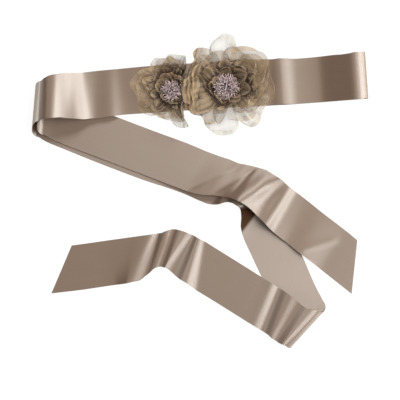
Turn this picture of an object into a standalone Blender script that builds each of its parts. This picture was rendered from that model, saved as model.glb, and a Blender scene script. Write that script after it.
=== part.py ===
"""Bridal sash laid flat: one long satin ribbon, folded, with two organza flowers on its front.

The sizes below are in millimetres, and the objects are built in metres. +Z is up from the table,
+Y is towards the top edge of the sash as it lies, and the origin is the middle of its footprint.

The ribbon is a single strip. Sections across it, each a straight line from the near selvedge to
the far one, are listed along each stretch from one cut end to the other, and smooth curves are
drawn through both selvedges. A petal is a wedge of a bowl; the bowls of a flower nest in each
other. The stamens are thin prisms that grow out of a small dome.
"""

import math
import random
from collections import namedtuple

import bmesh
import bpy
import numpy as np

MM = 0.001

# The ribbon
RIBBON_WIDTH = 57.15
WALL = 1.0
SEAM_GAP = 0.3
LAYER = WALL + SEAM_GAP
STEPS_PER_SECTION = 3
CELLS_ACROSS = 4
ROLL_STEPS = 9

# The flowers
PETAL_ROOT = 2.5
PETAL_ROWS = 5
PETAL_CELLS = 7
FLOWER_SEAM_X = -11.9
FLOWER_SEAM_CLEAR = 0.8

# Heights of the middle of the wall: on the table, and on one layer that lies on it
TABLE = WALL / 2
ON_ONE = TABLE + LAYER

# x, y: middle of the section. turn: bearing of the line from the near selvedge to the far one.
# spread: its length seen from above, in ribbon widths; under 1 where the ribbon tilts or bows.
# far_z, near_z: heights of the selvedges.
Section = namedtuple("Section", "x y turn spread far_z near_z")

LEFT_TAIL = (
    (-173, -98, 67, 1.14, TABLE, TABLE),
    (-151, -95, 91, 1.00, TABLE, TABLE),
    (-128, -92, 94, 1.00, TABLE, TABLE),
    (-109, -90, 92, 0.99, TABLE, TABLE),
    (-98, -88, 85, 1.00, 1.4, 2.5),
    (-87, -86, 76, 1.05, 3.4, 5.2),
    (-77, -85, 67, 1.13, 4.4, 6.0),
    (-69, -83, 65, 1.16, 1.8, 5.0),
    (-63, -82, 68, 1.11, 0.9, 2.6),
    (-59, -79, 72, 0.99, 0.9, 1.0),
    (-55, -77, 73, 0.91, 2.1, 2.7),
    (-51, -74, 73, 0.86, 4.0, 4.2),
    (-46, -72, 71, 0.87, 3.3, 3.5),
    (-41, -71, 70, 0.87, 2.5, 2.4),
    (-39, -71, 70, 0.88, 2.4, 2.2),
    (-34, -72, 68, 0.89, 4.2, 3.9),
    (-29, -74, 63, 0.91, 4.2, 2.9),
    (-25, -76, 61, 0.92, 2.7, 1.6),
    (-19, -81, 67, 0.96, 1.4, 3.6),
    (-12, -85, 73, 0.99, 2.8, 5.6),
    (-6, -89, 76, 1.02, 1.9, 3.4),
    (1, -94, 79, 1.05, 0.6, 0.7),
    (10, -99, 75, 1.05, TABLE, TABLE),
    (30, -112, 62, 1.02, TABLE, TABLE),
    (49, -123, 62, 1.01, 1.7, 1.4),
    (62, -132, 64, 1.01, 3.1, 2.8),
    (76, -140, 67, 1.02, 4.2, 4.0),
    (84, -145, 68, 1.00, 4.4, 4.2),
    (90, -149, 70, 1.00, 3.4, 3.2),
    (94, -152, 71, 1.01, 2.8, 2.6),
    (100, -156, 66, 1.01, 4.0, 3.8),
    (107, -161, 60, 0.98, 5.6, 5.4),
    (110, -164, 59, 0.98, 5.0, 4.8),
    (113, -166, 57, 0.96, 5.8, 5.5),
    (116, -168, 56, 0.95, 7.0, 6.9),
    (119, -169, 54, 0.96, 7.6, 7.4),
    (127, -171, 48, 1.04, 5.6, 5.4),
)
MIDDLE_TAIL = (
    (132, -159, 43, 1.07, TABLE, TABLE),
    (116, -126, 24, 1.00, TABLE, TABLE),
    (104, -98, 24, 1.00, TABLE, TABLE),
    (91, -70, 24, 1.00, TABLE, TABLE),
    (81, -47, 22, 1.01, TABLE, TABLE),
    (75, -31, 30, 0.97, TABLE, TABLE),
    (72, -16, 36, 0.89, TABLE, 0.8),
    (68, -6, 40, 0.85, TABLE, 5.6),
    (62, -1, 40, 0.86, TABLE, 6.8),
)
OUTER_RUN = (
    (50, 4, 48, 0.84, TABLE, 4.4),
    (36, 6, 59, 0.93, TABLE, 2.2),
    (23, 9, 65, 0.98, TABLE, 1.2),
    (11, 14, 69, 1.00, TABLE, 0.7),
    (-7, 22, 69, 1.00, TABLE, TABLE),
    (-65, 42, 69, 1.00, TABLE, TABLE),
    (-115, 61, 69, 1.00, TABLE, TABLE),
    (-162, 80, 69, 1.00, TABLE, TABLE),
    (-188, 90, 79, 0.99, TABLE, TABLE),
    (-201, 97, 88, 1.03, TABLE, TABLE),
)
FRONT_BAND = (
    (-198, 111, 87, 0.87, 18.0, 20.0),
    (-194, 113, 88, 0.88, 20.6, 22.6),
    (-190, 115, 88, 0.90, 22.4, 24.4),
    (-186, 116, 89, 0.92, 23, 25.2),
    (-179, 117, 89, 0.94, 21.8, 23.6),
    (-173, 118, 89, 0.95, 19.6, 20.6),
    (-167, 118, 89, 0.97, 17.2, 18.2),
    (-160, 118, 90, 0.99, 13.6, 16.2),
    (-152, 118, 91, 1.00, 10, 14.2),
    (-146, 118, 92, 1.02, 7.4, 11.2),
    (-139, 119, 92, 1.02, 5.6, 8.0),
    (-130, 120, 91, 1.03, 3.8, 5.8),
    (-113, 122, 92, 1.02, 2.0, 4.6),
    (-96, 124, 93, 1.01, ON_ONE, 2.2),
    (-73, 126, 94, 1.02, ON_ONE, ON_ONE),
    (2, 131, 94, 1.02, ON_ONE, ON_ONE),
    (83, 136, 94, 1.00, ON_ONE, ON_ONE),
    (93, 136, 94, 1.00, 2.9, 2.9),
    (101, 137, 94, 1.00, 4.0, 4.0),
    (109, 137, 94, 1.00, 3.0, 3.0),
    (119, 137, 94, 0.99, ON_ONE, ON_ONE),
    (147, 139, 94, 0.99, 2.2, 2.2),
    (158, 140, 94, 0.99, 4.6, 4.6),
    (169, 141, 94, 0.99, 8.0, 8.0),
    (178, 141, 94, 1.00, 11.0, 11.0),
    (188, 142, 94, 1.01, 14.2, 14.2),
    (194, 143, 94, 1.02, 15.2, 15.2),
    (198, 143, 94, 1.02, 14.8, 14.8),
    (203, 144, 94, 1.01, 13.0, 13.0),
)
BACK_BAND = (
    (204, 144, 94, 1.01, TABLE, TABLE),
    (183, 142, 94, 1.00, TABLE, TABLE),
    (121, 137, 94, 0.99, TABLE, TABLE),
    (2, 131, 94, 1.00, TABLE, TABLE),
    (-73, 126, 94, 1.00, TABLE, TABLE),
    (-96, 124, 93, 0.99, TABLE, 0.9),
    (-113, 122, 92, 1.00, TABLE, 3.2),
    (-130, 120, 91, 1.01, 1.6, 3.8),
    (-139, 119, 92, 1.00, 2.6, 5.2),
    (-153, 118, 91, 0.99, 5.6, 9.4),
    (-160, 118, 90, 0.97, 8.4, 11.6),
    (-174, 118, 89, 0.93, 13.4, 14.6),
    (-183, 116, 88, 0.91, 15.2, 16.4),
    (-190, 115, 87, 0.91, 16.0, 17.4),
)
RIGHT_TAIL = (
    (-192, 97, 87, 0.96, 3.4, 3.4),
    (-182, 93, 80, 0.97, 2.0, 2.0),
    (-162, 85, 69, 0.97, ON_ONE, ON_ONE),
    (-115, 67, 68, 0.97, ON_ONE, ON_ONE),
    (-65, 48, 68, 0.97, ON_ONE, ON_ONE),
    (-20, 31, 69, 0.98, ON_ONE, 2.4),
    (-2, 24, 67, 0.96, ON_ONE, 3.8),
    (15, 19, 65, 0.92, 2.2, 6.0),
    (26, 17, 63, 0.87, 2.6, 6.6),
    (37, 14, 62, 0.82, 2.8, 7.8),
    (48, 12, 63, 0.81, 2.8, 9.2),
    (60, 8, 65, 0.84, 2.8, 10.8),
    (71, 3, 65, 0.90, 2.8, 10.8),
    (81, -5, 68, 0.96, 2.6, 8.6),
    (91, -13, 68, 1.01, 2.4, 6.4),
    (99, -21, 67, 1.02, 2.0, 4.8),
    (109, -29, 66, 1.03, 1.6, 3.8),
    (122, -39, 63, 1.02, 1.0, 2.6),
    (138, -52, 59, 1.01, 0.6, 2.4),
    (154, -64, 55, 1.00, TABLE, 1.6),
    (168, -75, 59, 1.01, TABLE, TABLE),
    (193, -95, 84, 1.18, TABLE, TABLE),
)

# Rolls, where the ribbon turns back over itself: the bearing it bulges to, and how far the far
# and near selvedges go beyond the two sections that the roll joins.
Roll = namedtuple("Roll", "bearing far_reach near_reach")
LOWER_RIGHT_ROLL = Roll(-48, 7.5, 9.0)
OUTER_LEFT_ROLL = Roll(180, 6.2, 8.3)
INNER_LEFT_ROLL = Roll(180, 8.0, 10.0)
RIGHT_ROLL = Roll(0, 4.0, 4.0)

# A bowl is the surface that a ring of petals lies in: its height at the middle, how far it rises
# at its own radius, and the power of the radius that it rises by.
Bowl = namedtuple("Bowl", "base rise radius power")
# turn: bearing of the petal. reach: middle of the flower to the tip. root, rim: half its angle
# there. ruffle, waves: height and number of the waves along its rim. cup: lift of its two sides.
Petal = namedtuple("Petal", "bowl turn reach root rim ruffle waves cup")
Flower = namedtuple("Flower", "x y bowls petals stamens")
Stamens = namedtuple("Stamens", "dome length base seed")

LARGE_FLOWER = Flower(
    32.5,
    128.5,
    {
        "outer_low": Bowl(3.1, 7.0, 66, 1.5),
        "outer_high": Bowl(4.7, 9.5, 66, 1.5),
        "middle_low": Bowl(6.3, 19.0, 44, 2.1),
        "middle_high": Bowl(7.9, 21.0, 42.5, 2.1),
        "inner_low": Bowl(9.5, 22.0, 27, 3.0),
        "inner_high": Bowl(11.1, 22.0, 25, 3.0),
    },
    (
        Petal("outer_low", 94, 67, 42, 20, 0.5, 3, 0),
        Petal("outer_low", 7, 61, 40, 31, 0.5, 3, 0),
        Petal("outer_low", -95, 61, 42, 27, 0.5, 3, 0),
        Petal("outer_low", 180, 46, 38, 34, 0.5, 3, 0),
        Petal("outer_high", 49, 63, 38, 21, 1.5, 3, 2),
        Petal("outer_high", -35, 57, 38, 24, 1.5, 4, 2),
        Petal("outer_high", -125, 52, 38, 12, 1.0, 2, 2),
        Petal("outer_high", 127, 55, 28, 24, 1.5, 3, 2),
        Petal("outer_high", 179, 46, 16, 26, 1.5, 3, 2),
        Petal("middle_low", 82, 38, 50, 42, 0.8, 3, 0),
        Petal("middle_low", -20, 45, 48, 34, 0.8, 3, 0),
        Petal("middle_low", 187, 42, 50, 36, 0.8, 3, 0),
        Petal("middle_low", -94, 33, 20, 32, 0.8, 3, 0),
        Petal("middle_high", 30, 44, 44, 36, 1.4, 4, 2),
        Petal("middle_high", 132, 38, 50, 40, 1.4, 4, 2),
        Petal("middle_high", -96, 27, 62, 60, 1.0, 5, 0),
        Petal("inner_low", 55, 29, 56, 52, 0.6, 3, 0),
        Petal("inner_low", 175, 25, 56, 52, 0.6, 3, 0),
        Petal("inner_low", -65, 25, 56, 52, 0.6, 3, 0),
        Petal("inner_high", 0, 25, 52, 46, 1.0, 3, 1),
        Petal("inner_high", 115, 24, 52, 46, 1.0, 3, 1),
        Petal("inner_high", -125, 23, 52, 46, 1.0, 3, 1),
    ),
    Stamens(7.4, 14.6, 12.8, 3),
)
SMALL_FLOWER = Flower(
    -36.0,
    123.8,
    {
        "outer_low": Bowl(3.1, 5.0, 49, 1.5),
        "outer_high": Bowl(4.7, 7.5, 49, 1.5),
        "middle_low": Bowl(6.3, 14.0, 34, 2.1),
        "middle_high": Bowl(7.9, 16.0, 32.5, 2.1),
        "inner_low": Bowl(9.5, 17.0, 21, 3.0),
        "inner_high": Bowl(11.1, 17.0, 19.5, 3.0),
    },
    (
        Petal("outer_low", 206, 42, 40, 27, 0.5, 3, 0),
        Petal("outer_low", 74, 50, 42, 20, 0.5, 3, 0),
        Petal("outer_low", -61, 45, 42, 20, 0.5, 3, 0),
        Petal("outer_high", 166, 49, 30, 25, 1.2, 4, 2),
        Petal("outer_high", 121, 46, 11, 17, 1.2, 3, 2),
        Petal("outer_high", 38, 40, 60, 48, 1.2, 4, 2),
        Petal("outer_high", -83, 37, 44, 34, 1.2, 3, 2),
        Petal("middle_low", 88, 38, 50, 36, 0.8, 3, 0),
        Petal("middle_low", 165, 33, 22, 32, 0.8, 3, 0),
        Petal("middle_low", -105, 23, 60, 52, 0.8, 3, 0),
        Petal("middle_low", -3, 31, 34, 38, 0.8, 3, 0),
        Petal("middle_high", 38, 30, 40, 36, 1.2, 3, 1),
        Petal("middle_high", 130, 32, 40, 36, 1.2, 3, 1),
        Petal("middle_high", -48, 27, 36, 34, 1.2, 3, 1),
        Petal("middle_high", -138, 30, 40, 36, 1.2, 3, 1),
        Petal("inner_low", 60, 21, 56, 52, 0.5, 3, 0),
        Petal("inner_low", 180, 20, 56, 52, 0.5, 3, 0),
        Petal("inner_low", -60, 20, 56, 52, 0.5, 3, 0),
        Petal("inner_high", 0, 19, 52, 46, 0.8, 3, 1),
        Petal("inner_high", 120, 19, 52, 46, 0.8, 3, 1),
        Petal("inner_high", -120, 18, 52, 46, 0.8, 3, 1),
    ),
    Stamens(6.2, 12.2, 12.8, 8),
)
PETAL_TIP_ROUND = 0.3
PETAL_TIP_POWER = 2.5

# Stamens. The dome is cut flat at this share of its radius, and a face whose normal rises by at
# least STAMEN_LOWEST grows a strand, inset by a share of the radius. The others are shares of the
# strand's length or of its way.
DOME_CUT = 0.3
STAMEN_LOWEST = 0.42
STAMEN_INSET = 0.045
STAMEN_LIFT = 0.3
STAMEN_SCATTER = 0.12
STAMEN_SHORTEST = 0.86

# Edges sharper than this stay crisp, and corners this near a cutting plane, in metres, lie on it.
CRISP_EDGE = math.radians(50)
ON_PLANE = 1e-7

SATIN_COLOUR = (0.32, 0.25, 0.20)
ORGANZA_COLOUR = (0.42, 0.33, 0.22)
STAMEN_COLOUR = (0.45, 0.36, 0.38)


def material(name, colour, roughness, alpha=1.0):
    """A cloth finish: no metal in it."""
    made = bpy.data.materials.new(name)
    made.use_nodes = True
    shader = made.node_tree.nodes["Principled BSDF"]
    shader.inputs["Base Color"].default_value = (*colour, 1.0)
    shader.inputs["Roughness"].default_value = roughness
    shader.inputs["Metallic"].default_value = 0.0
    shader.inputs["Alpha"].default_value = alpha
    return made


def add_object(name, mesh, finish):
    mesh.shade_smooth()
    mesh.set_sharp_from_angle(angle=CRISP_EDGE)
    mesh.materials.append(finish)
    made = bpy.data.objects.new(name, mesh)
    bpy.context.scene.collection.objects.link(made)
    return made


def wall_mesh(name, middle, thickness):
    """A closed wall round a grid of points (rows, columns, 3), half its thickness to each side."""
    along = np.gradient(middle, axis=0)
    across = np.gradient(middle, axis=1)
    normal = np.cross(along, across)
    normal /= np.linalg.norm(normal, axis=2, keepdims=True)
    rows, columns = middle.shape[:2]
    sides = np.concatenate([middle + normal * thickness / 2, middle - normal * thickness / 2])
    points = sides.reshape(-1, 3) * MM
    index = np.arange(2 * rows * columns).reshape(2, rows, columns)
    over, under = index
    faces = [
        np.stack([over[:-1, :-1], over[1:, :-1], over[1:, 1:], over[:-1, 1:]], -1),
        np.stack([under[:-1, :-1], under[:-1, 1:], under[1:, 1:], under[1:, :-1]], -1),
        np.stack([over[:-1, 0], under[:-1, 0], under[1:, 0], over[1:, 0]], -1),
        np.stack([over[1:, -1], under[1:, -1], under[:-1, -1], over[:-1, -1]], -1),
        np.stack([over[0, 1:], under[0, 1:], under[0, :-1], over[0, :-1]], -1),
        np.stack([over[-1, :-1], under[-1, :-1], under[-1, 1:], over[-1, 1:]], -1),
    ]
    quads = np.concatenate([face.reshape(-1, 4) for face in faces])
    mesh = bpy.data.meshes.new(name)
    mesh.from_pydata(points.tolist(), [], quads.tolist())
    mesh.update()
    return mesh


def selvedges(rows):
    """The far and near end of each section, as an array (sections, 2, 3)."""
    ends = []
    for row in rows:
        cut = Section(*row)
        half = RIBBON_WIDTH * cut.spread / 2
        side_x = half * math.cos(math.radians(cut.turn))
        side_y = half * math.sin(math.radians(cut.turn))
        ends.append(
            (
                (cut.x + side_x, cut.y + side_y, cut.far_z),
                (cut.x - side_x, cut.y - side_y, cut.near_z),
            )
        )
    return np.array(ends)


def curve_through(ends):
    """Cubic curves through the sections. Where a height turns, its curve is level there, so that
    the ribbon never dips under the lowest section."""
    steps = np.linalg.norm(np.diff(ends, axis=0), axis=2).mean(axis=1)
    slopes = np.diff(ends, axis=0) / steps[:, None, None]
    before, after = slopes[:-1], slopes[1:]
    weight = (steps[:-1] / (steps[:-1] + steps[1:]))[:, None, None]
    mean = before * (1 - weight) + after * weight
    least = np.minimum(np.minimum(abs(before), abs(after)), abs(mean) / 2)
    level = (np.sign(before) + np.sign(after)) * least
    inner = np.where(np.arange(3) == 2, level, mean)
    tangents = np.concatenate([slopes[:1], inner, slopes[-1:]])
    curve = [ends[:1]]
    for share in range(1, STEPS_PER_SECTION + 1):
        t = share / STEPS_PER_SECTION
        start = (1 + 2 * t) * (1 - t) ** 2 * ends[:-1]
        end = t * t * (3 - 2 * t) * ends[1:]
        lean = t * (1 - t) ** 2 * tangents[:-1] - t * t * (1 - t) * tangents[1:]
        curve.append(start + end + lean * steps[:, None, None])
    between = np.stack(curve[1:], axis=1).reshape(-1, 2, 3)
    return np.concatenate([curve[0], between])


def roll_between(start, end, roll):
    """Half an ellipse at each selvedge, from one section round to the other, both left out."""
    angle = np.linspace(0, math.pi, ROLL_STEPS + 2)[1:-1, None, None]
    bearing = math.radians(roll.bearing)
    outward = np.array((math.cos(bearing), math.sin(bearing), 0))
    reach = np.array((roll.far_reach, roll.near_reach))[:, None]
    middle, half = (start + end) / 2, (start - end) / 2
    return middle + half * np.cos(angle) + outward * reach * np.sin(angle)


def ribbon_stretches():
    """Each stretch of the one strip, from the left cut end to the right one, as its selvedges."""
    left = curve_through(selvedges(LEFT_TAIL))
    lower = curve_through(selvedges(MIDDLE_TAIL + OUTER_RUN))
    front = curve_through(selvedges(FRONT_BAND))
    back = curve_through(selvedges(BACK_BAND))
    right = curve_through(selvedges(RIGHT_TAIL))
    parting = (len(MIDDLE_TAIL) - 1) * STEPS_PER_SECTION + 1
    lower_roll = roll_between(left[-1], lower[0], LOWER_RIGHT_ROLL)
    outer_roll = roll_between(lower[-1], front[0], OUTER_LEFT_ROLL)
    right_roll = roll_between(front[-1], back[0], RIGHT_ROLL)
    inner_roll = roll_between(back[-1], right[0], INNER_LEFT_ROLL)
    return {
        "left_tail": np.concatenate([left, lower_roll, lower[:1]]),
        "middle_tail": lower[:parting],
        "outer_run": lower[parting - 1:],
        "front_band": np.concatenate([lower[-1:], outer_roll, front, right_roll, back[:1]]),
        "back_band": np.concatenate([back, inner_roll, right[:1]]),
        "right_tail": right,
    }


def part_ends(edges):
    """Draws the first and the last section in, so that two stretches never touch at a seam."""
    parted = edges.copy()
    for end, inside in ((0, 1), (-1, -2)):
        inward = edges[inside] - edges[end]
        length = np.linalg.norm(inward, axis=1, keepdims=True)
        parted[end] += inward / length * SEAM_GAP / 2
    return parted


def build_ribbon(finish):
    across = np.linspace(0, 1, CELLS_ACROSS + 1)[None, :, None]
    for name, edges in ribbon_stretches().items():
        edges = part_ends(edges)
        middle = edges[:, :1] * (1 - across) + edges[:, 1:] * across
        add_object(name, wall_mesh(name, middle, WALL), finish)


def petal_points(flower, petal):
    """A wedge of the petal's bowl. Its tip is rounded, its rim waves, and it stops at the line
    where the two flowers press on each other."""
    bowl = flower.bowls[petal.bowl]
    out = np.linspace(0, 1, PETAL_ROWS + 1)[:, None]
    side = np.linspace(-1, 1, PETAL_CELLS + 1)[None, :]
    half_angle = np.radians(petal.root + (petal.rim - petal.root) * out)
    angle = math.radians(petal.turn) + half_angle * side
    reach = petal.reach * (1 - PETAL_TIP_ROUND * abs(side) ** PETAL_TIP_POWER)
    to_seam = FLOWER_SEAM_X - flower.x
    room = abs(to_seam) - FLOWER_SEAM_CLEAR
    facing = np.maximum(np.cos(angle) * np.sign(to_seam), room / (2 * petal.reach))
    reach = np.minimum(reach, room / facing)
    radius = PETAL_ROOT + (reach - PETAL_ROOT) * out
    height = bowl.base + bowl.rise * (radius / bowl.radius) ** bowl.power
    ruffle = petal.ruffle * out**2 * np.sin(petal.waves * math.pi * side + petal.turn)
    cup = petal.cup * out * side**2
    x = flower.x + radius * np.cos(angle)
    y = flower.y + radius * np.sin(angle)
    return np.stack([x, y, height + ruffle + cup], axis=-1)


def build_petals(name, flower, finish):
    for number, petal in enumerate(flower.petals, start=1):
        label = f"{name}_petal_{number:02d}"
        add_object(label, wall_mesh(label, petal_points(flower, petal), WALL), finish)


def build_stamens(name, flower, finish):
    """A dome with a flat underside. Each of its upper faces grows one three-sided strand."""
    stamens = flower.stamens
    dice = random.Random(stamens.seed)
    shape = bmesh.new()
    bmesh.ops.create_icosphere(shape, subdivisions=3, radius=stamens.dome * MM)
    cut = (0, 0, stamens.dome * DOME_CUT * MM)
    everything = shape.verts[:] + shape.edges[:] + shape.faces[:]
    bmesh.ops.bisect_plane(
        shape, geom=everything, dist=ON_PLANE, plane_co=cut, plane_no=(0, 0, 1), clear_inner=True
    )
    rim = [edge for edge in shape.edges if edge.is_boundary]
    bmesh.ops.contextual_create(shape, geom=rim)
    bmesh.ops.recalc_face_normals(shape, faces=shape.faces[:])
    roots = [face for face in shape.faces if len(face.verts) == 3 and face.normal.z > STAMEN_LOWEST]
    bmesh.ops.inset_individual(shape, faces=roots, thickness=stamens.dome * STAMEN_INSET * MM)
    tips = bmesh.ops.extrude_discrete_faces(shape, faces=roots)["faces"]
    for tip in tips:
        way = tip.normal.copy()
        way.z += STAMEN_LIFT
        way.x += dice.uniform(-STAMEN_SCATTER, STAMEN_SCATTER)
        way.y += dice.uniform(-STAMEN_SCATTER, STAMEN_SCATTER)
        length = stamens.length * dice.uniform(STAMEN_SHORTEST, 1.0)
        bmesh.ops.translate(shape, verts=tip.verts, vec=way.normalized() * length * MM)
    drop = stamens.base * MM - cut[2]
    bmesh.ops.translate(shape, verts=shape.verts, vec=(flower.x * MM, flower.y * MM, drop))
    label = f"{name}_stamens"
    mesh = bpy.data.meshes.new(label)
    shape.to_mesh(mesh)
    shape.free()
    add_object(label, mesh, finish)


def build_sash():
    satin = material("taupe satin", SATIN_COLOUR, 0.35)
    organza = material("taupe organza", ORGANZA_COLOUR, 0.6, alpha=0.6)
    thread = material("mauve stamens", STAMEN_COLOUR, 0.5)
    build_ribbon(satin)
    for name, flower in (("large", LARGE_FLOWER), ("small", SMALL_FLOWER)):
        build_petals(name, flower, organza)
        build_stamens(name, flower, thread)


for existing in list(bpy.data.objects):
    bpy.data.objects.remove(existing, do_unlink=True)
build_sash()
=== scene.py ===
# %% [markdown]
# # A bridal sash: one satin ribbon with two organza flowers
# The sash lies folded on a pale table and is seen from straight above. It is one long double-faced
# satin ribbon, with two organza flowers sewn to its front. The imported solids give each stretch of
# ribbon and each petal its place; this notebook puts thin cloth on them.

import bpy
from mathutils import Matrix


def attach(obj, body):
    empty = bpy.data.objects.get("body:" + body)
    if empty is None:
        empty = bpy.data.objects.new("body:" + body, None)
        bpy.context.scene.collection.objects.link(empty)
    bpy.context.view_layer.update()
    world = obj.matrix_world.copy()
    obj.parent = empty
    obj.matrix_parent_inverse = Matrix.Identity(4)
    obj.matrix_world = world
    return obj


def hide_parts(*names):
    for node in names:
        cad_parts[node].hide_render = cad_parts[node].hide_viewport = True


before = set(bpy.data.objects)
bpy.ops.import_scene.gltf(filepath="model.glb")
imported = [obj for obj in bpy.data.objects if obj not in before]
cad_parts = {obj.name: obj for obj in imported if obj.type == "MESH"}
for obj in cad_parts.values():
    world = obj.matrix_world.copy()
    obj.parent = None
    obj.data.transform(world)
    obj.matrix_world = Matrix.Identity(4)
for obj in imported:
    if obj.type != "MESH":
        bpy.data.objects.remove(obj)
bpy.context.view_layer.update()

# %% [markdown]
# ## Tools
# Every piece is a grid of points worked out by a formula, as one numpy array. One helper turns
# arrays into a Blender mesh, and another makes a grid a closed shell: two layers a fraction of a
# millimetre apart, and a rim round them. Sizes are written in millimetres, because that is how
# cloth is sold, and turned to metres once.

# %% Modules and units
import math
from collections import namedtuple

import bpy
import numpy as np

MM = 0.001
CRISP_EDGE = math.radians(60)


# %% Meshes from grids
def grid_quads(rows, columns):
    """The four corners of each cell of a grid whose points are numbered row by row."""
    index = np.arange(rows * columns).reshape(rows, columns)
    corners = [index[:-1, :-1], index[1:, :-1], index[1:, 1:], index[:-1, 1:]]
    return np.stack(corners, axis=-1).reshape(-1, 4)


def make_piece(name, points, quads, finish, places=None, values=None):
    """A mesh of four-cornered faces. points are in millimetres. places are where each point lies in
    the flat cloth, in metres, and become its UV map. values become attributes of the points."""
    mesh = bpy.data.meshes.new(name)
    mesh.vertices.add(len(points))
    mesh.vertices.foreach_set("co", (points * MM).astype(np.float32).ravel())
    mesh.loops.add(quads.size)
    mesh.loops.foreach_set("vertex_index", quads.astype(np.int32).ravel())
    mesh.polygons.add(len(quads))
    mesh.polygons.foreach_set("loop_start", np.arange(0, quads.size, 4, dtype=np.int32))
    mesh.update(calc_edges=True)
    if places is not None:
        layer = mesh.uv_layers.new(name="cloth")
        layer.data.foreach_set("uv", places[quads.ravel()].astype(np.float32).ravel())
    for key, value in (values or {}).items():
        attribute = mesh.attributes.new(key, "FLOAT", "POINT")
        attribute.data.foreach_set("value", value.astype(np.float32).ravel())
    mesh.validate()
    mesh.shade_smooth()
    mesh.set_sharp_from_angle(angle=CRISP_EDGE)
    mesh.materials.append(finish)
    piece = bpy.data.objects.new(name, mesh)
    bpy.context.scene.collection.objects.link(piece)
    return piece


def shell_of(middle, thickness):
    """Points and faces of a closed shell: the grid moved half the thickness along its normals, to
    one side and to the other, and a face for each step round the rim."""
    normal = np.cross(np.gradient(middle, axis=0), np.gradient(middle, axis=1))
    normal /= np.linalg.norm(normal, axis=2, keepdims=True)
    offset = normal * thickness / 2
    points = np.concatenate([(middle + offset).reshape(-1, 3), (middle - offset).reshape(-1, 3)])
    rows, columns, _ = middle.shape
    count = rows * columns
    index = np.arange(count).reshape(rows, columns)
    rim = np.concatenate([index[:-1, 0], index[-1, :-1], index[:0:-1, -1], index[0, :0:-1]])
    after = np.roll(rim, -1)
    upper, sides = grid_quads(rows, columns), [rim, rim + count, after + count, after]
    return points, np.concatenate([upper, upper[:, ::-1] + count, np.stack(sides, axis=-1)])


# %% [markdown]
# ## Colours and shader nodes
# Colours are picked as sRGB hex, the way a swatch book gives them, and Blender's shaders want them
# linear. One small function adds any node with its settings, its socket values and its links, so a
# material reads from top to bottom like a recipe.

# %% Colours and nodes
def linear(swatch):
    """sRGB hex to linear red, green, blue and alpha: each channel follows the sRGB curve."""
    channels = [int(swatch[i:i + 2], 16) / 255 for i in (1, 3, 5)]
    return (*[c / 12.92 if c <= 0.04045 else ((c + 0.055) / 1.055) ** 2.4 for c in channels], 1.0)


def add_node(tree, kind, sockets=None, links=None, **settings):
    """Adds a shader node. settings are its own values, sockets its inputs' values, and links say
    which output of which node feeds an input."""
    node = tree.nodes.new("ShaderNode" + kind)
    for key, value in settings.items():
        setattr(node, key, value)
    for key, value in (sockets or {}).items():
        node.inputs[key].default_value = value
    for key, (source, output) in (links or {}).items():
        tree.links.new(source.outputs[output], node.inputs[key])
    return node


def add_blend(tree, low, high, factor):
    """The colour that a factor from 0 to 1 picks between low and high. high is a swatch, and low is
    one too or another node's output."""
    sockets, links = {7: linear(high)}, {0: factor}
    if isinstance(low, str):
        sockets[6] = linear(low)
    else:
        links[6] = low
    return add_node(tree, "Mix", sockets, links, data_type="RGBA"), 2


def point_value(tree, name):
    """The output that reads one of the values of each point."""
    return add_node(tree, "Attribute", attribute_name=name), "Fac"


def new_finish(name):
    """A material and its node tree, emptied."""
    finish = bpy.data.materials.new(name)
    finish.use_nodes = True
    finish.node_tree.nodes.clear()
    return finish, finish.node_tree


# %% [markdown]
# ## Satin ribbon: the finish
# Double-faced satin is woven so that its warp floats over the weft on both faces. The floats all
# run along the ribbon, so a fold shows bright bands across it and near-black ones beside them,
# while a flat stretch stays an even, dull taupe. That is anisotropic gloss: sharp along the
# threads and wide across them. The tangent comes from the UV map, whose first axis is the length.
# The real floats are about 0.1 mm apart, too fine for this picture, so the streaks are drawn 1 mm.
# Painted shade: the share of light that a point has lost darkens dye and gleam together.

# %% Satin finish
SATIN_LIGHT = "#96806F"
SATIN_DEEP = "#8C7664"
SATIN_GLEAM = "#FBF7F0"
# Painted shade: the dark brown that points which have lost light are darkened towards.
SATIN_PAINTED_SHADE = "#4A3222"
STREAK_WIDTH = 1.0 * MM
STREAK_LENGTH = 60.0 * MM


def satin_finish():
    finish, tree = new_finish("double-faced satin ribbon, woven and dyed taupe")
    place = add_node(tree, "UVMap", uv_map="cloth")
    scale = {"Scale": (1 / STREAK_LENGTH, 1 / STREAK_WIDTH, 1.0)}
    threads = add_node(tree, "Mapping", scale, {"Vector": (place, "UV")})
    noise = {"Scale": 1.0, "Detail": 2.0, "Roughness": 0.6}
    streaks = add_node(tree, "TexNoise", noise, {"Vector": (threads, "Vector")})
    dyed = add_blend(tree, SATIN_DEEP, SATIN_LIGHT, (streaks, "Fac"))
    # Painted shade: the dye and the gleam darken towards a dark brown by each point's lost light.
    painted_shade = point_value(tree, "painted_shade")
    colour = add_blend(tree, dyed, SATIN_PAINTED_SHADE, painted_shade)
    gleam = add_blend(tree, SATIN_GLEAM, SATIN_PAINTED_SHADE, painted_shade)
    relief = {"Strength": 0.12, "Distance": 0.05 * MM}
    bump = add_node(tree, "Bump", relief, {"Height": (streaks, "Fac")})
    tangent = add_node(tree, "Tangent", direction_type="UV_MAP", uv_map="cloth")
    cloth = add_node(
        tree, "BsdfPrincipled",
        {"Roughness": 0.47, "Anisotropic": 0.89, "Anisotropic Rotation": 0.25,
         "Specular IOR Level": 1.0, "IOR": 1.95},
        {"Base Color": colour, "Specular Tint": gleam, "Normal": (bump, "Normal"),
         "Tangent": (tangent, "Tangent")},
    )
    add_node(tree, "OutputMaterial", links={"Surface": (cloth, "BSDF")})
    return finish


satin = satin_finish()
print("satin:", satin.name)
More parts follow.
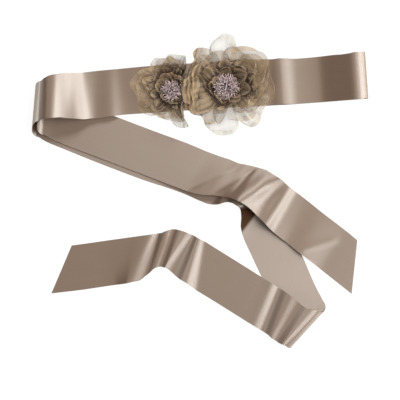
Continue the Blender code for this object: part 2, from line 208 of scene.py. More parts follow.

# %% [markdown]
# ## Satin ribbon: the shape
# The ribbon is one strip. A section is a straight line across it, from its near selvedge to its
# far one, and the tables list the sections of each stretch in the order they lie along the ribbon.
# Cubic curves join them, and where the ribbon folds back over itself, half an ellipse does. A cloth
# simulation would settle into folds of its own, but these have to lie where the picture has them,
# so they are listed. They follow the imported solids, only finer in the left tail's buckles.

# %% Sections of the ribbon
RIBBON_WIDTH = 57.15
# Heights of a ribbon that lies on the table, and of one that lies on another.
TABLE = 0.5
ON_ONE = 1.3

# x, y: middle of the section. turn: bearing of the line from the near selvedge to the far one.
# spread: its length seen from above, in ribbon widths. far_z, near_z: heights of the selvedges,
# left out where both lie on the table.
Section = namedtuple("Section", "x y turn spread far_z near_z", defaults=(TABLE, TABLE))

LEFT_TAIL = (
    (-173, -98, 67, 1.14), (-151, -95.4, 91, 0.997), (-128, -92.1, 94, 0.99),
    (-109, -89.3, 92, 0.991, 0.9, 1.4), (-98, -87.8, 85, 1.011, 1.8, 3.1),
    (-87.1, -86.2, 76, 1.061, 3.4, 4.9), (-76.9, -84.7, 67, 1.143, 4.4, 6),
    (-69.1, -83.2, 65, 1.152, 1.8, 5), (-63, -82.1, 68, 1.106, 0.9, 2.6),
    (-59.1, -79.3, 72, 0.979, 1, 1), (-55, -77, 73, 0.91, 2.4, 2.9),
    (-51, -74, 73, 0.86, 4.6, 4.7), (-46, -72, 71, 0.87, 3.2, 3.4), (-41, -71, 70, 0.87, 2, 2),
    (-36, -72, 69, 0.88, 3.8, 3.8), (-32, -73, 62, 0.89, 4.7, 4.6), (-27, -75, 56, 0.9, 2.2, 2.4),
    (-21, -79, 61, 0.94, 1, 1.1), (-16, -83, 67, 0.98, 2.3, 3.4), (-11, -86, 73, 1, 3.2, 5.6),
    (-6, -89, 76, 1.02, 2.4, 3.7), (1, -93.7, 79, 1.074, 0.6, 0.7), (9.9, -99.3, 75, 1.047),
    (30.1, -111.8, 62, 1.002), (48.8, -123.4, 62, 1, 1.8, 1.5),
    (62.1, -131.7, 64, 1.002, 3.2, 2.9), (77.8, -141.4, 67, 1.007, 4.6, 4.4),
    (83.9, -145.2, 68, 1.009, 3.1, 2.9), (88.1, -147.8, 69, 1.012, 2.1, 1.9),
    (94.1, -151.6, 71, 1.019, 3.5, 4.6), (101, -157, 65, 1.01, 6.5, 6.2),
    (108, -162, 60, 0.98, 5.3, 5.1), (113, -166, 57, 0.96, 7, 6.7),
    (116, -168, 56, 0.95, 8.2, 8.2), (119, -169, 54, 0.96, 8.8, 8.6), (123, -170, 51, 1, 8, 7.8),
    (127, -171, 48, 1.04, 6.2, 6),
)
MIDDLE_TAIL = (
    (132, -159, 43, 1.07), (116, -126, 24, 1), (104, -98, 24, 1), (91, -70, 24, 1),
    (81, -47, 22, 1.01), (75, -31, 30, 0.97), (72, -16, 36, 0.89, TABLE, 0.8),
    (68, -6, 40, 0.85, TABLE, 5.6), (62, -1, 40, 0.86, TABLE, 6.8),
)
OUTER_RUN = (
    (50, 4, 48, 0.84, TABLE, 4.4), (36, 6, 59, 0.93, TABLE, 2.2), (23, 9, 65, 0.98, TABLE, 1.2),
    (11, 14, 69, 1, TABLE, 0.7), (-7, 22, 69, 1), (-65, 42, 69, 1), (-115, 61, 69, 1),
    (-162, 80, 69, 1), (-188, 90, 79, 0.99), (-201, 97, 88, 1.03),
)
FRONT_BAND = (
    (-198, 111, 87, 0.87, 18, 20), (-194, 113, 88, 0.88, 20.6, 22.6),
    (-190, 115, 88, 0.9, 22.4, 24.4), (-186, 116, 89, 0.92, 23, 25.2),
    (-179, 117, 89, 0.94, 21.8, 23.6), (-173, 118, 89, 0.95, 19.6, 20.6),
    (-167, 118, 89, 0.97, 17.2, 18.2), (-160, 118, 90, 0.99, 13.6, 16.2),
    (-152, 118, 91, 1, 10, 14.2), (-146, 118, 92, 1.02, 7.4, 11.2), (-139, 119, 92, 1.02, 5.6, 8),
    (-130, 120, 91, 1.03, 3.8, 5.8), (-113, 122, 92, 1.02, 2, 4.6),
    (-96, 124, 93, 1.01, ON_ONE, 2.2), (-73, 126, 94, 1.02, ON_ONE, ON_ONE),
    (2, 131, 94, 1.02, ON_ONE, ON_ONE), (83, 136, 94, 1, ON_ONE, ON_ONE),
    (93, 136, 94, 1, 2.9, 2.9), (101, 137, 94, 1, 4, 4), (109, 137, 94, 1, 3, 3),
    (119, 137, 94, 0.99, ON_ONE, ON_ONE), (147, 139, 94, 0.99, 2.2, 2.2),
    (158, 140, 94, 0.99, 4.6, 4.6), (169, 141, 94, 0.99, 8, 8), (178, 141, 94, 1, 11, 11),
    (188, 142, 94, 1.01, 14.2, 14.2), (194, 143, 94, 1.02, 15.2, 15.2),
    (198, 143, 94, 1.02, 14.8, 14.8), (203, 144, 94, 1.01, 13, 13),
)
BACK_BAND = (
    (204, 144, 94, 1.01), (183, 142, 94, 1), (121, 137, 94, 0.99), (2, 131, 94, 1),
    (-73, 126, 94, 1), (-96, 124, 93, 0.99, TABLE, 0.9), (-113, 122, 92, 1, TABLE, 3.2),
    (-130, 120, 91, 1.01, 1.6, 3.8), (-139, 119, 92, 1, 2.6, 5.2), (-153, 118, 91, 0.99, 5.6, 9.4),
    (-160, 118, 90, 0.97, 8.4, 11.6), (-174, 118, 89, 0.93, 13.4, 14.6),
    (-183, 116, 88, 0.91, 15.2, 16.4), (-190, 115, 87, 0.91, 16, 17.4),
)
RIGHT_TAIL = (
    (-192, 97, 87, 0.96, 3.4, 3.4), (-182, 93, 80, 0.97, 2, 2),
    (-162, 85, 69, 0.97, ON_ONE, ON_ONE), (-115, 67, 68, 0.97, ON_ONE, ON_ONE),
    (-65, 48, 68, 0.97, ON_ONE, ON_ONE), (-20, 31, 69, 0.98, ON_ONE, 2.4),
    (-2, 24, 67, 0.96, ON_ONE, 3.8), (15, 19, 65, 0.92, 2.2, 6), (26, 17, 63, 0.87, 2.6, 6.6),
    (37, 14, 62, 0.82, 2.8, 7.8), (48, 12, 63, 0.81, 2.8, 9.2), (60, 8, 65, 0.84, 2.8, 10.8),
    (71, 3, 65, 0.9, 2.8, 10.8), (81, -5, 68, 0.96, 2.6, 8.6), (91, -13, 68, 1.01, 2.4, 6.4),
    (99, -21, 67, 1.02, 2, 4.8), (109, -29, 66, 1.03, 1.6, 3.8), (122, -39, 63, 1.02, 1, 2.6),
    (138, -52, 59, 1.01, 1.4, 3.6), (154, -64, 55, 1, 0.9, 2.2), (168, -75, 59, 1.01),
    (193, -95, 84, 1.18),
)

# A fold: the bearing it bulges to, how far the selvedges go beyond the sections it joins, and how
# steeply the cloth already falls where the fold starts and ends.
Roll = namedtuple("Roll", "bearing far_reach near_reach start_fall end_fall", defaults=(0, 0))

# The stretches as they lie along the ribbon, and the folds between them: lower right, far left, far
# right, and inside the one at the far left.
STRETCHES = {
    "left tail": LEFT_TAIL,
    "lower run": MIDDLE_TAIL + OUTER_RUN,
    "front band": FRONT_BAND,
    "back band": BACK_BAND,
    "right tail": RIGHT_TAIL,
}
ROLLS = (
    Roll(-48, 7.5, 9.0, start_fall=0.6),
    Roll(180, 6.2, 8.3, end_fall=0.6),
    Roll(0, 4.0, 4.0),
    Roll(180, 8.0, 10.0, end_fall=-0.15),
)
print("sections:", {name: len(rows) for name, rows in STRETCHES.items()})

# %% Curves through the sections
ROW_STEP = 1.5
ROLL_ROWS = 28
# Heights may slope this many times as steeply at a section as on the gentler side of it.
STEEPER = 3


def selvedges(rows):
    """The far and the near end of each section: its middle plus and minus half its length along
    its bearing."""
    cut = Section(*np.array([Section(*row) for row in rows], dtype=float).T)
    turn, half = np.radians(cut.turn), cut.spread * RIBBON_WIDTH / 2
    middle = np.stack([cut.x, cut.y], axis=1)
    side = np.stack([np.cos(turn) * half, np.sin(turn) * half], axis=1)
    far = np.column_stack([middle + side, cut.far_z])
    near = np.column_stack([middle - side, cut.near_z])
    return np.stack([far, near], axis=1)


def height_slopes(steps, before, after):
    """Slopes of the cubic spline that bends evenly, from one linear equation for each inner
    section. Each is cut off at a few times the gentler slope beside it, so that no wave is added,
    and is level where the slopes beside it differ in sign."""
    count = len(steps) - 1
    inner = np.arange(1, count + 1)
    matrix = np.eye(count + 2)
    matrix[inner, inner - 1] = steps[1:]
    matrix[inner, inner] = 2 * (steps[:-1] + steps[1:])
    matrix[inner, inner + 1] = steps[:-1]
    wanted = np.zeros((count + 2, 2))
    wanted[0], wanted[-1] = before[0], after[-1]
    wanted[1:-1] = 3 * (steps[1:, None] * before + steps[:-1, None] * after)
    limit = STEEPER * np.minimum(abs(before), abs(after)) * (before * after > 0)
    return np.clip(np.linalg.solve(matrix, wanted)[1:-1], -limit, limit)


def curve_through(ends):
    """Cubic curves from section to section. From above, the slope at a section is the weighted mean
    of the slopes beside it."""
    steps = np.linalg.norm(np.diff(ends, axis=0), axis=2).mean(axis=1)
    slopes = np.diff(ends, axis=0) / steps[:, None, None]
    before, after = slopes[:-1], slopes[1:]
    weight = (steps[:-1] / (steps[:-1] + steps[1:]))[:, None, None]
    mean = before * (1 - weight) + after * weight
    mean[..., 2] = height_slopes(steps, before[..., 2], after[..., 2])
    tangents = np.concatenate([slopes[:1], mean, slopes[-1:]])
    counts = np.maximum(3, np.ceil(steps / ROW_STEP)).astype(int)
    piece = np.repeat(np.arange(len(steps)), counts)
    place = np.arange(counts.sum()) - np.repeat(np.cumsum(counts) - counts, counts) + 1
    t = (place / counts[piece])[:, None, None]
    start = (1 + 2 * t) * (1 - t) ** 2 * ends[piece]
    end = t * t * (3 - 2 * t) * ends[piece + 1]
    lean = t * (1 - t) ** 2 * tangents[piece] - t * t * (1 - t) * tangents[piece + 1]
    return np.concatenate([ends[:1], start + end + lean * steps[piece, None, None]])


def roll_between(start, end, roll):
    """Half an ellipse at each selvedge: the middle of the two sections, plus the cosine of an angle
    times half their difference, plus its sine times the reach. A cubic that starts with the given
    fall and fades over the whole fold lowers it."""
    angle = np.linspace(0, math.pi, ROLL_ROWS + 2)[1:-1, None, None]
    back = math.pi - angle
    fall = roll.start_fall * angle * (back / math.pi) ** 2
    fall = fall + roll.end_fall * back * (angle / math.pi) ** 2
    down = np.array((0, 0, -1))
    bearing = math.radians(roll.bearing)
    outward = np.array((math.cos(bearing), math.sin(bearing), 0))
    reach = np.array((roll.far_reach, roll.near_reach))[:, None]
    path = (start + end) / 2 + (start - end) / 2 * np.cos(angle) + outward * reach * np.sin(angle)
    return path + down * reach * fall


# %% [markdown]
# ## Satin ribbon: creases
# Where the ribbon bends in its own plane, its inner edge has too much cloth, and it buckles into
# creases that fan out from there. The largest are in the sections. The finer ones are listed one by
# one: each is a line on the cloth, with a height that falls off as a bell curve, wider on one side
# than on the other, and it is a trough where the height is below zero. Between close sections the
# curves are stiffer than satin is, so the heights are softened a little first.

# %% Creases listed one by one
CREASE_FADE = 0.25
RELAX_ROWS = 4

# x0, y0, x1, y1: its ends. left, right: width of its two flanks. height: at its middle.
Crease = namedtuple("Crease", "x0 y0 x1 y1 left right height")

CREASES = {
    "left tail": (Crease(-66, -120, -42, -50, 3, 3, -0.5),),
    "lower run": (
        Crease(18, -30, 34, 2, 4, 4, 1.2), Crease(6, -30, 24, 2, 4, 4, -0.5),
    ),
    "front band": (Crease(-111, 70, -115, 176, 12, 11, 1.2),),
    "back band": (),
    "right tail": (
        Crease(26, -25, 122, 31, 14, 10, 4.8), Crease(72, -61, 124, 27, 10, 7.5, 3.2),
        Crease(-30, -4, 66, 38, 4, 3.4, -0.45), Crease(4, -9, 78, 33, 4, 3.4, -0.5),
        Crease(33, -14, 73, 36, 3.6, 3.2, -0.5), Crease(116, -77, 178, -59, 6, 5, 0.6),
    ),
}


def bells(cloth, creases):
    """The sum, for each point, of each crease's height times a bell curve of the distance from its
    line, faded over the last stretch towards both ends."""
    total = np.zeros(cloth.shape[:2])
    for crease in creases:
        start = np.array(crease[:2])
        way = crease[2:4] - start
        across = cloth[..., :2] - start
        is_left = across[..., 1] * way[0] > across[..., 0] * way[1]
        width = np.where(is_left, crease.left, crease.right)
        share = across @ way / (way @ way)
        foot = start + np.clip(share, 0, 1)[..., None] * way
        distance = np.linalg.norm(cloth[..., :2] - foot, axis=-1)
        fade = np.clip((0.5 - abs(share - 0.5)) / CREASE_FADE, 0, 1)
        bell = np.exp(-((distance / width) ** 2))
        total += crease.height * bell * fade * fade * (3 - 2 * fade)
    return total


def relax(cloth):
    """Takes the stiffness out of the cubic curves: heights become a weighted mean over a few rows,
    and the ends keep theirs, because the rows beyond them are mirrored through the end points."""
    weights = np.hanning(2 * RELAX_ROWS + 3)[1:-1]
    weights /= weights.sum()
    wide = np.pad(cloth[..., 2], ((RELAX_ROWS, RELAX_ROWS), (0, 0)), "reflect", reflect_type="odd")
    count = len(cloth)
    cloth[..., 2] = sum(w * wide[i:i + count] for i, w in enumerate(weights))


print("creases:", {name: len(creases) for name, creases in CREASES.items()})

# %% [markdown]
# ## Satin ribbon: painted shade
# Satin has more contrast than a gloss shader gives it, so shade is painted into its colour in two
# places: the pocket under the big bend, where light comes only by way of other folds, and the flanks
# that climb away from the large lamp on the right, where the floats mirror the dark side of the
# room. Other lamps would change all the rest, so the light that is lost there is worked out from the
# shape.

# %% Painted shade in the pocket and on the flanks
# Its painted shade ends softly at a line from (x0, y0) to (x1, y1) on the cloth, and at the line y =
# top.
Pocket = namedtuple("Pocket", "x0 y0 x1 y1 top soft")
POCKET = Pocket(51, -56, 69, -33, -19, 3.0)

# Slopes, as rise over run towards the right, at which a flank starts to lose light to painted shade
# and at which it has lost the whole share.
FLANK_FROM = 0.11
FLANK_FULL = 0.30
FLANK_SHARE = 0.5


def pocket_painted_shade(cloth, pocket):
    """The share of light that is lost, painted as shade: a ramp over the distance to the left of the
    pocket's line, times a ramp over the distance below its top."""
    way = np.array((pocket.x1 - pocket.x0, pocket.y1 - pocket.y0))
    way = way / np.linalg.norm(way)
    from_line = (cloth[..., 1] - pocket.y0) * way[0] - (cloth[..., 0] - pocket.x0) * way[1]
    from_top = pocket.top - cloth[..., 1]
    return np.clip(from_line / pocket.soft, 0, 1) * np.clip(from_top / pocket.soft, 0, 1)


def flank_painted_shade(cloth):
    """The share of light that is lost, painted as shade, where the cloth climbs to the right, away
    from the light: its rise from row to row, over the run from row to row, as far as that run goes
    to the right."""
    rise = np.gradient(cloth[..., 2], axis=0)
    run = np.gradient(cloth[..., :2], axis=0)
    slope = rise * run[..., 0] / (run ** 2).sum(axis=-1)
    lost = np.clip((slope - FLANK_FROM) / (FLANK_FULL - FLANK_FROM), 0, 1)
    return FLANK_SHARE * lost * lost * (3 - 2 * lost)


# %% [markdown]
# ## Satin ribbon: one strip of cloth
# The stretches and the folds between them are joined, end to end, into one grid of points. It is
# the middle of the cloth, and a closed shell is drawn round it, so both faces and the cut edges are
# real. Each row's distance along the ribbon is its place in the UV map, which keeps the floats
# straight through every fold, and the last row's distance is the length of the cut.

# %% The ribbon's surface
CELLS_ACROSS = 28


def filled(edges):
    """Rows of points, evenly spaced from the far selvedge straight to the near one."""
    across = np.linspace(0, 1, CELLS_ACROSS + 1)[None, :, None]
    return edges[:, :1] * (1 - across) + edges[:, 1:] * across


def ribbon_surface():
    """The middle of the whole strip, row by row from the left cut end to the right one, and the
    share of light that each point has lost, which is painted as shade."""
    strip, painted_shade, last = [], [], None
    for (name, rows), roll in zip(STRETCHES.items(), (None, *ROLLS)):
        edges = curve_through(selvedges(rows))
        if roll:
            strip.append(filled(roll_between(last, edges[0], roll)))
            painted_shade.append(np.zeros(strip[-1].shape[:2]))
        last = edges[-1]
        cloth = filled(edges)
        relax(cloth)
        cloth[..., 2] += bells(cloth, CREASES[name])
        # Painted shade on the flanks that climb away from the light, and in the pocket.
        lost = flank_painted_shade(cloth)
        if name == "lower run":
            lost = np.maximum(lost, pocket_painted_shade(cloth, POCKET))
        strip.append(cloth)
        painted_shade.append(lost)
    return np.concatenate(strip), np.concatenate(painted_shade)


# %% The ribbon's mesh
RIBBON_THICKNESS = 0.35


def build_ribbon():
    middle, painted_shade = ribbon_surface()
    line = middle[:, CELLS_ACROSS // 2]
    along = np.concatenate([[0], np.cumsum(np.linalg.norm(np.diff(line, axis=0), axis=1))])
    points, quads = shell_of(middle, RIBBON_THICKNESS)
    across = np.linspace(0, RIBBON_WIDTH, CELLS_ACROSS + 1)
    flat = np.stack(np.broadcast_arrays(along[:, None], across[None, :]), axis=-1).reshape(-1, 2)
    places = np.concatenate([flat, flat]) * MM
    # Painted shade of each point, on both faces of the shell.
    values = {"painted_shade": np.tile(painted_shade.ravel(), 2)}
    ribbon = make_piece("satin_ribbon", points, quads, satin, places, values)
    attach(ribbon, "root")
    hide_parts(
        "left_tail", "middle_tail", "outer_run", "front_band", "back_band", "right_tail"
    )
    print("ribbon:", round(along[-1]), "mm long,", len(quads), "faces")


build_ribbon()

# %% [markdown]
# ## Organza petals: the finish
# Organza is a sheer plain weave of fine twisted threads. One layer over white paper barely tints
# it, several close up to a warm tan, and an edge that was sealed with a hot knife is denser. So the
# finish is a cloth shader mixed with a see-through one. The weave steers it, and three values of
# each point: how much of the view the cloth stops there (cover), how tan it looks through its
# layers (warm), and how much the petals round it darken it, as painted shade (shade). The real
# threads are 0.25 mm apart; here they are 0.8 mm apart, to survive at this distance.

# %% Organza finish
ORGANZA_PALE = "#DFD9C8"
ORGANZA_TAN = "#BCA481"
# Painted shade: the deep brown that points darken towards where the petals round them take the
# light.
ORGANZA_PAINTED_SHADE = "#432C1A"
THREAD_GAP = 0.8 * MM
WEAVE_DEPTH = 0.10


def organza_finish():
    finish, tree = new_finish("silk organza, plain woven, edges sealed, with painted shade")
    place = add_node(tree, "UVMap", uv_map="cloth")
    axes = add_node(tree, "SeparateXYZ", links={"Vector": (place, "UV")})
    threads, per_turn = [], {1: 2 * math.pi / THREAD_GAP}
    for axis in ("X", "Y"):
        turns = add_node(tree, "Math", per_turn, {0: (axes, axis)}, operation="MULTIPLY")
        threads.append((add_node(tree, "Math", links={0: (turns, 0)}, operation="SINE"), 0))
    weave = add_node(tree, "Math", links={0: threads[0], 1: threads[1]}, operation="MAXIMUM")
    spread = {"From Min": -1.0, "To Min": 1 - WEAVE_DEPTH, "To Max": 1 + WEAVE_DEPTH}
    gaps = add_node(tree, "MapRange", spread, {"Value": (weave, 0)})
    both = {0: point_value(tree, "cover"), 1: (gaps, "Result")}
    dense = add_node(tree, "Math", links=both, operation="MULTIPLY", use_clamp=True)
    light = add_blend(tree, ORGANZA_PALE, ORGANZA_TAN, point_value(tree, "warm"))
    # Painted shade darkens the colour towards a deep brown by the value shade.
    colour = add_blend(tree, light, ORGANZA_PAINTED_SHADE, point_value(tree, "shade"))
    gloss = {"Roughness": 0.5, "Sheen Weight": 0.3, "Sheen Roughness": 0.4}
    thread = add_node(tree, "BsdfPrincipled", gloss, {"Base Color": colour})
    glow = add_node(tree, "BsdfTranslucent", links={"Color": colour})
    cloth = add_node(tree, "MixShader", {0: 0.3}, {1: (thread, "BSDF"), 2: (glow, "BSDF")})
    clear = add_node(tree, "BsdfTransparent")
    layers = {0: (dense, 0), 1: (clear, "BSDF"), 2: (cloth, "Shader")}
    sheer = add_node(tree, "MixShader", links=layers)
    add_node(tree, "OutputMaterial", links={"Surface": (sheer, "Shader")})
    return finish


organza = organza_finish()
print("organza:", organza.name)

# %% [markdown]
# ## Organza petals: the shape
# A petal is a wedge of a bowl, and the bowls of a flower nest in each other: flat ones for the
# outer petals, steep ones for the cup round the stamens. Its rim waves, its tip is rounded, and
# small pleats run out from the root, where the real petal is gathered with a stitch. A cloth
# simulation could drape flat petals too, but they would slide off their solids.

# %% Petals and bowls
# A bowl's height is its base, plus its rise times a power of the distance over its radius.
Bowl = namedtuple("Bowl", "base rise radius power")
# turn: bearing. reach: middle of the flower to the tip. root, rim: half its angle there. ruffle,
# waves: height and number of the waves along its rim. cup: lift of its two sides.
# layers: how many sheets lie on each other in it, where it is more than one.
Petal = namedtuple("Petal", "bowl turn reach root rim ruffle waves cup layers", defaults=(1,))
Flower = namedtuple("Flower", "x y bowls petals stamens")
# dome, base: radius and height of the dome that the strands stand on. length: of the longest.
Stamens = namedtuple("Stamens", "dome length base seed")

BOWL_BASE = 3.1
BOWL_STEP = 1.6
BOWL_POWERS = {"outer": 1.5, "middle": 2.1, "inner": 3.0}


def flower_of(x, y, stamens, table):
    """A flower from the table of its bowls, lowest first: rise, radius, and a row for each petal.
    Each bowl starts one step higher than the one before."""
    bowls, petals = {}, []
    for place, (name, (rise, radius, rows)) in enumerate(table.items()):
        power = BOWL_POWERS[name.split("_")[0]]
        bowls[name] = Bowl(BOWL_BASE + BOWL_STEP * place, rise, radius, power)
        petals += [Petal(name, *row) for row in rows]
    return Flower(x, y, bowls, petals, stamens)


LARGE_FLOWER = flower_of(32.5, 128.5, Stamens(7.4, 14.6, 12.8, 3), {
    "outer_low": (7, 66, (
        (94, 67, 36, 15, 0.5, 3, 0), (7, 61, 42, 36, 0.5, 3, 0, 3), (-98, 62, 42, 21, 0.5, 3, 0),
        (184, 60, 38, 36, 0.5, 3, 0, 3),
    )),
    "outer_high": (9.5, 66, (
        (47, 62, 40, 30, 1.5, 3, 2, 4), (-37, 60, 38, 30, 1.5, 4, 2, 2),
        (-123, 53, 34, 8, 1.0, 2, 2, 3), (130, 58, 30, 27, 1.5, 3, 2, 3),
        (179, 58, 24, 30, 1.5, 3, 2, 2),
    )),
    "middle_low": (19, 44, (
        (82, 38, 50, 42, 0.8, 3, 0), (-20, 45, 48, 34, 0.8, 3, 0), (187, 56, 50, 36, 0.8, 3, 0),
        (-94, 33, 20, 32, 0.8, 3, 0),
    )),
    "middle_high": (21, 42.5, (
        (30, 44, 44, 36, 1.4, 4, 2), (132, 41, 50, 36, 1.4, 4, 2), (-96, 27, 62, 60, 1.0, 5, 0),
    )),
    "inner_low": (22, 27, (
        (55, 29, 56, 52, 0.6, 3, 0), (175, 22, 56, 52, 0.6, 3, 0), (-65, 23, 56, 52, 0.6, 3, 0),
    )),
    "inner_high": (22, 25, (
        (0, 27, 52, 44, 1.0, 3, 1), (115, 22, 52, 42, 1.0, 3, 1), (-125, 20, 52, 46, 1.0, 3, 1),
    )),
})
SMALL_FLOWER = flower_of(-36.0, 123.8, Stamens(6.2, 12.2, 12.8, 8), {
    "outer_low": (5, 49, (
        (208, 43, 40, 32, 0.5, 3, 0, 3), (68, 50, 42, 31, 0.5, 3, 0), (-60, 50, 42, 26, 0.5, 3, 0),
    )),
    "outer_high": (7.5, 49, (
        (162, 49, 40, 36, 1.2, 4, 2, 3), (121, 46, 20, 22, 1.2, 3, 2, 3),
        (38, 46, 60, 48, 1.2, 4, 2, 2), (-83, 40, 44, 34, 1.2, 3, 2, 3),
    )),
    "middle_low": (14, 34, (
        (88, 38, 50, 36, 0.8, 3, 0), (165, 35, 34, 42, 0.8, 3, 0), (-105, 23, 60, 52, 0.8, 3, 0),
        (-3, 36, 34, 38, 0.8, 3, 0),
    )),
    "middle_high": (16, 32.5, (
        (38, 30, 40, 36, 1.2, 3, 1), (130, 32, 40, 36, 1.2, 3, 1), (-48, 27, 36, 34, 1.2, 3, 1),
        (-138, 30, 40, 36, 1.2, 3, 1),
    )),
    "inner_low": (17, 21, (
        (60, 21, 56, 52, 0.5, 3, 0), (180, 20, 56, 52, 0.5, 3, 0), (-60, 20, 56, 52, 0.5, 3, 0),
    )),
    "inner_high": (17, 19.5, (
        (0, 19, 52, 46, 0.8, 3, 1), (120, 19, 52, 46, 0.8, 3, 1), (-120, 18, 52, 46, 0.8, 3, 1),
    )),
})

print("petals:", len(LARGE_FLOWER.petals), "large,", len(SMALL_FLOWER.petals), "small")

# %% [markdown]
# ## Organza petals: the seam between the flowers
# The flowers are sewn so close that they press on each other. No petal crosses the seam: one that
# is too long stands up there, and the cloth is squeezed into upright folds along the seam. All
# petals share these waves, and so they don't cut through each other.

# %% Seam and shared waves
SEAM_X, SEAM_Y = -21, 126
# It bends aside by SEAM_BOW at SEAM_HALF from its middle, and by SEAM_MOST times that at most.
SEAM_BOW, SEAM_HALF, SEAM_MOST = 11, 38, 1.2
BUNCH_HEIGHT = 2.1
BUNCH_STEP = 5.2
BUNCH_WIDTH = 15.0


def seam_line(y):
    """Where the two flowers press on each other: a parabola, because the large one bulges into the
    small one, with two slow waves in it."""
    share = np.minimum(((y - SEAM_Y) / SEAM_HALF) ** 2, SEAM_MOST)
    return SEAM_X + SEAM_BOW * share + 1.2 * np.sin(0.11 * y) + 0.9 * np.sin(0.29 * y + 1)


def swell(x, y):
    """Waves in which all petals rise and fall together."""
    slow = 1.6 * np.sin(0.16 * x + 0.05 * y) * np.sin(0.13 * y + 0.6)
    return slow + 0.8 * np.sin(0.31 * y - 0.2 * x)


def bunch(x, y):
    """Upright folds, side by side along the seam: a cosine of the distance from it, that fades."""
    away = abs(x - seam_line(y))
    fold = BUNCH_HEIGHT * np.cos(2 * math.pi * away / BUNCH_STEP)
    return fold * np.exp(-((away / BUNCH_WIDTH) ** 2))


def wander(x, y):
    """Slow shifts sideways, also shared, so that the rims of a bowl don't form a circle."""
    right = 1.8 * np.sin(0.17 * y + 0.5) + 1.0 * np.sin(0.33 * x + 0.1 * y)
    back = 1.8 * np.sin(0.15 * x + 1.2) + 1.0 * np.sin(0.29 * y - 0.12 * x)
    return right, back


# %% [markdown]
# ## Organza petals: one sheet
# A sheet is a grid: rows count the way out from the root, columns the way across. In places its rim
# is turned back over itself as a soft lip, and the doubled edge draws the petal's outline.

# %% One sheet of a petal
PETAL_ROWS = 32
PETAL_CELLS = 56
PETAL_OUT = np.linspace(0, 1, PETAL_ROWS + 1)[:, None]
PETAL_SIDE = np.linspace(-1, 1, PETAL_CELLS + 1)[None, :]
PETAL_ROOT = 2.5
PETAL_TIP_POWER = 2.5
# Rows lie closer together towards the rim than towards the root.
ROW_POWER = 0.8
LIP_FROM = 0.78
LIP_RISE = 1.2
RIM_SHARE = 0.05
UPRIGHT = 34
SEAM_LAP = 1.8
SEAM_STEP = 1.4
SHEET_LIFT = 0.9
NEIGHBOUR_LIFT = 0.2
FLUTTER = 0.5
# Petals with less than this half angle at the rim have shallower pleats and flutter.
WIDE_RIM = 40
# How much denser the petals lie at the seam.
CROWD = 2

# cover: share of the view that one layer stops. rim: how much more it stops at its edge. depth:
# how dark its painted shade gets where other petals stand round it. warm: from pale to tan, as
# layers close up.
# pleat, curl: heights of root pleats and edge. uneven: how far its reach swells. tip: how far its
# corners are cut back. lip: share of its reach that is folded back on it, where most is.
Cloth = namedtuple("Cloth", "cover rim depth warm pleat curl uneven tip lip")
CLOTHS = {
    "outer": Cloth(0.39, 0.12, 0.70, 0.0, 0.35, 0.8, 0.04, 0.20, 0.12),
    "middle": Cloth(0.50, 0.22, 1.0, 1.0, 0.9, 1.2, 0.10, 0.26, 0.22),
    "inner": Cloth(0.55, 0.24, 1.0, 1.0, 0.7, 1.0, 0.12, 0.30, 0.24),
}


def reach_of(flower, petal, cloth, number, angle, side, sheet):
    """How far the petal goes at each angle, and the share of it that has no room. It is cut back
    towards its corners, and swells with two slow sine waves, so that no two petals are alike. The
    room is the way to the seam, measured along the petal."""
    free = petal.reach * (1 - cloth.tip * abs(side) ** PETAL_TIP_POWER)
    slow, quick = np.sin(3.4 * side + 1.7 * number), np.sin(8 * side + number)
    free = free * (1 - cloth.uneven / 2 + cloth.uneven * slow + 0.25 * cloth.uneven * quick)
    facing = np.cos(angle) * np.sign(SEAM_X - flower.x)
    crossing = flower.y + (SEAM_X - flower.x) * np.tan(angle)
    room = abs(seam_line(np.clip(crossing, 60, 190)) - flower.x) + SEAM_LAP
    room = room - SEAM_STEP * ((number + sheet) % 4)
    reach = np.minimum(free, room / np.maximum(facing, room / (2 * petal.reach)))
    return reach, 1 - reach / free


def own_waves(petal, cloth, number, out, side):
    """Sine waves across the petal that grow towards the rim, quicker ones that grow faster, pleats
    that are highest halfway out, and a lift of the two sides."""
    ruffle = petal.ruffle * out**2 * np.sin(petal.waves * math.pi * side + petal.turn)
    wide = min(1, petal.rim / WIDE_RIM)
    quick = np.sin((2 * petal.waves + 1.3) * math.pi * side + 2.1 * number)
    flutter = FLUTTER * wide * out**3 * quick
    pleat = cloth.pleat * wide * np.sin((5 + number % 4) * math.pi * side + number)
    pleat = pleat * np.sin(math.pi * out)
    return ruffle + flutter + pleat + petal.cup * out * side**2


